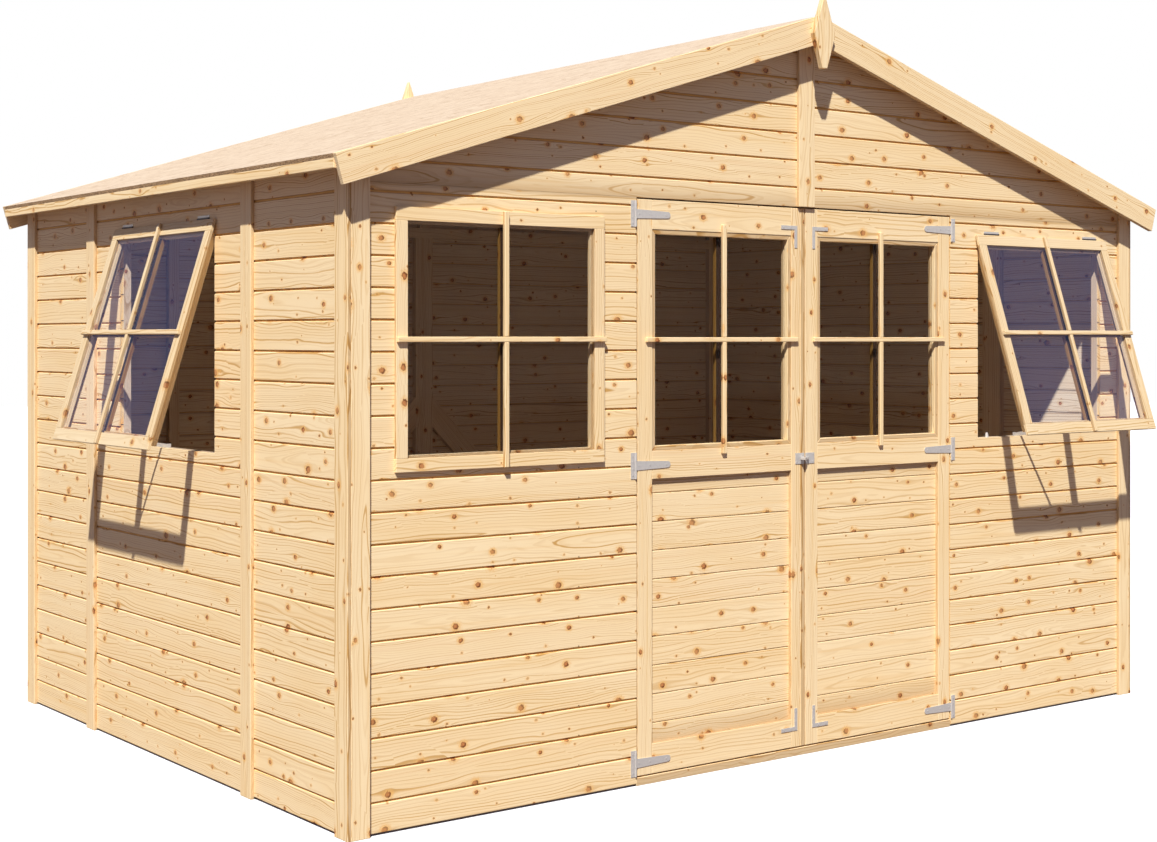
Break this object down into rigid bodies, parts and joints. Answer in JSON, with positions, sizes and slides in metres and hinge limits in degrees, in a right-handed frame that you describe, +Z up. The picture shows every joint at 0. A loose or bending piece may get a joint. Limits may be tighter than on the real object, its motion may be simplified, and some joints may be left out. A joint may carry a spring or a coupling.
{
  "type": "wooden garden shed",
  "caption": "Gabled wooden garden shed of shiplap panels with a glazed double door, top-hung windows, bargeboards and a bare board roof.",
  "frame": {"origin": "on the ground in the middle of the floor plan, under the middle floor bearer", "axes": "+X along the front from the left wall to the right wall, +Y from the front to the back, +Z up"},
  "size_m": [3.9282, 2.7362, 2.5734],
  "materials": {
    "spruce_boards": "planed, untreated, knotty",
    "spruce_timber": "planed, untreated",
    "floor_spruce": "planed, untreated",
    "roof_board": "pressed chips, matt",
    "galvanised_steel": "zinc plated, dull",
    "glass": "clear"
  },
  "bodies": {
    "shed": {"back_bargeboard_left": "spruce_timber", "back_bargeboard_right": "spruce_timber", "back_posts": "spruce_timber", "back_wall": "spruce_boards", "bottom_rails": "spruce_timber", "cover_strips": "spruce_timber", "door_hinge_plates": "galvanised_steel", "door_sill": "spruce_timber", "eaves_battens": "spruce_timber", "finials": "spruce_timber", "floor_bearers": "floor_spruce", "floor_deck": "floor_spruce", "front_bargeboard_left": "spruce_timber", "front_bargeboard_right": "spruce_timber", "front_gable": "spruce_boards", "front_left_sash": "spruce_timber", "front_posts": "spruce_timber", "front_right_sash": "spruce_timber", "front_wall_left": "spruce_boards", "front_wall_right": "spruce_boards", "gable_corner_strips": "spruce_timber", "gable_rafters": "spruce_timber", "gable_studs": "spruce_timber", "left_sash": "spruce_timber", "left_wall": "spruce_boards", "purlins": "spruce_timber", "right_wall": "spruce_boards", "roof_panel_left": "roof_board", "roof_panel_right": "roof_board", "side_corner_strips": "spruce_timber", "side_posts": "spruce_timber", "top_rails": "spruce_timber", "wall_braces": "spruce_timber", "window_hinges": "galvanised_steel", "window_panes": "glass", "window_rails": "spruce_timber", "window_stays": "galvanised_steel"},
    "door_left": {"left_door_fittings": "galvanised_steel", "left_door_frame": "spruce_timber", "left_door_pane": "glass", "left_door_panel": "spruce_boards", "left_door_straps": "galvanised_steel"},
    "door_right": {"right_door_fittings": "galvanised_steel", "right_door_frame": "spruce_timber", "right_door_pane": "glass", "right_door_panel": "spruce_boards", "right_door_straps": "galvanised_steel"}
  },
  "joints": [
    {"name": "left_door_hinge", "type": "hinge", "parent": "shed", "child": "door_left", "pos_m": [-0.75, -1.203, 0], "axis": [0, 0, -1], "range_deg": [0, 135]},
    {"name": "right_door_hinge", "type": "hinge", "parent": "shed", "child": "door_right", "pos_m": [0.75, -1.203, 0], "axis": [0, 0, 1], "range_deg": [0, 110]}
  ]
}
